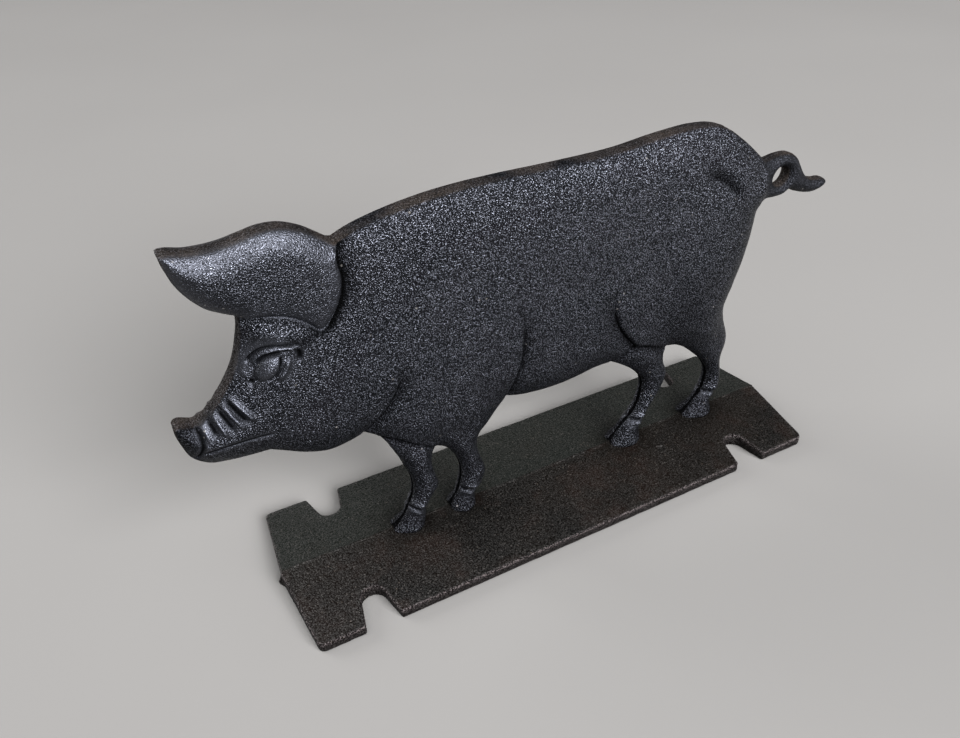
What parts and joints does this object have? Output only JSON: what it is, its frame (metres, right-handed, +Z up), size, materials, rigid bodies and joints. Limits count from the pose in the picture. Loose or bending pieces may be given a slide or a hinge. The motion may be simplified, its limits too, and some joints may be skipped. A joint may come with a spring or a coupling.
{
  "type": "bacon press",
  "caption": "Cast-iron weight: a standing pig in double-sided relief as the grip, on a flat pressing plate with open slots in its long edges.",
  "frame": {"origin": "centre of the pressing plate's flat underside", "axes": "+X along the plate from the pig's head to its tail, +Y across the plate away from the usual front, +Z up"},
  "size_m": [0.2817, 0.076, 0.1544],
  "materials": {
    "plate_iron": "seasoned black with a brown cast, as cast",
    "figure_iron": "satin black, fine sand-cast grain"
  },
  "bodies": {
    "root": {"press_plate": "plate_iron", "pig_figure": "figure_iron"}
  },
  "joints": []
}
